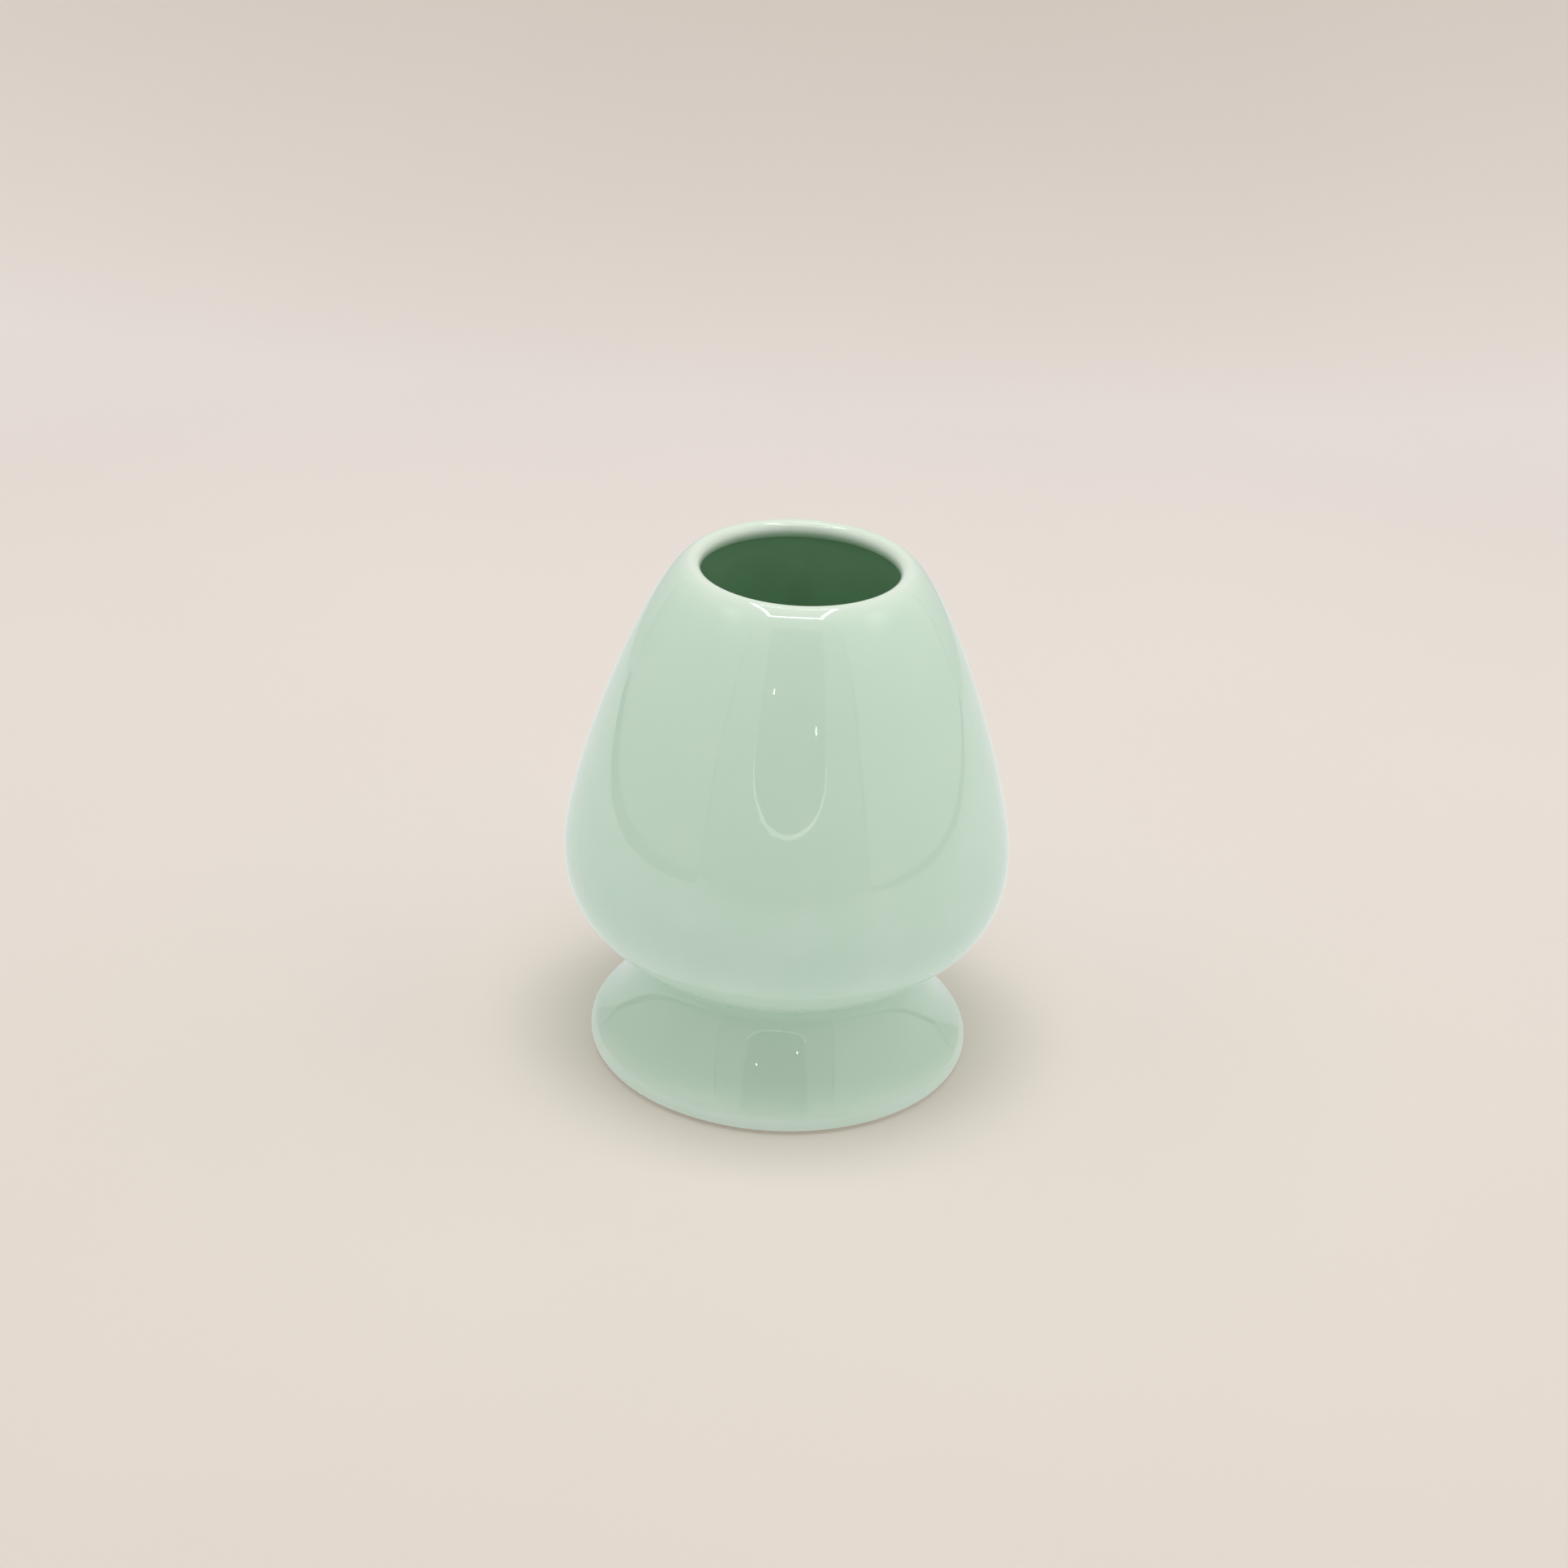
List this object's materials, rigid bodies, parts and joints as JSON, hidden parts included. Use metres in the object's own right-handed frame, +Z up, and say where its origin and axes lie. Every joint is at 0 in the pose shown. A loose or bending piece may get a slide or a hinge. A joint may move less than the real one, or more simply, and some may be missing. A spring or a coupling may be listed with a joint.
{
  "type": "tea whisk holder",
  "caption": "Free-standing porcelain holder that a bamboo tea whisk is slipped over to dry: an open-mouthed bulb on a flared hollow foot, celadon-glazed.",
  "frame": {"origin": "middle of the bare foot ring, on the surface that the holder stands on", "axes": "+Z up along the axis of revolution, from the foot ring to the mouth; X and Y are free because the pot is turned"},
  "size_m": [0.06, 0.06, 0.0715],
  "materials": {
    "porcelain": "fired porcelain, unglazed where the foot ring is bare, fine and matt",
    "slip": "fired porcelain slip, hidden under the glaze",
    "celadon_glaze": "smooth glossy pale green celadon glaze, paler where it thins over the lip and the foot's rim"
  },
  "bodies": {
    "root": {"bulb": "porcelain", "foot": "porcelain", "luting_slip": "slip", "outer_glaze": "celadon_glaze", "inner_glaze": "celadon_glaze", "underside_glaze": "celadon_glaze"}
  },
  "joints": []
}
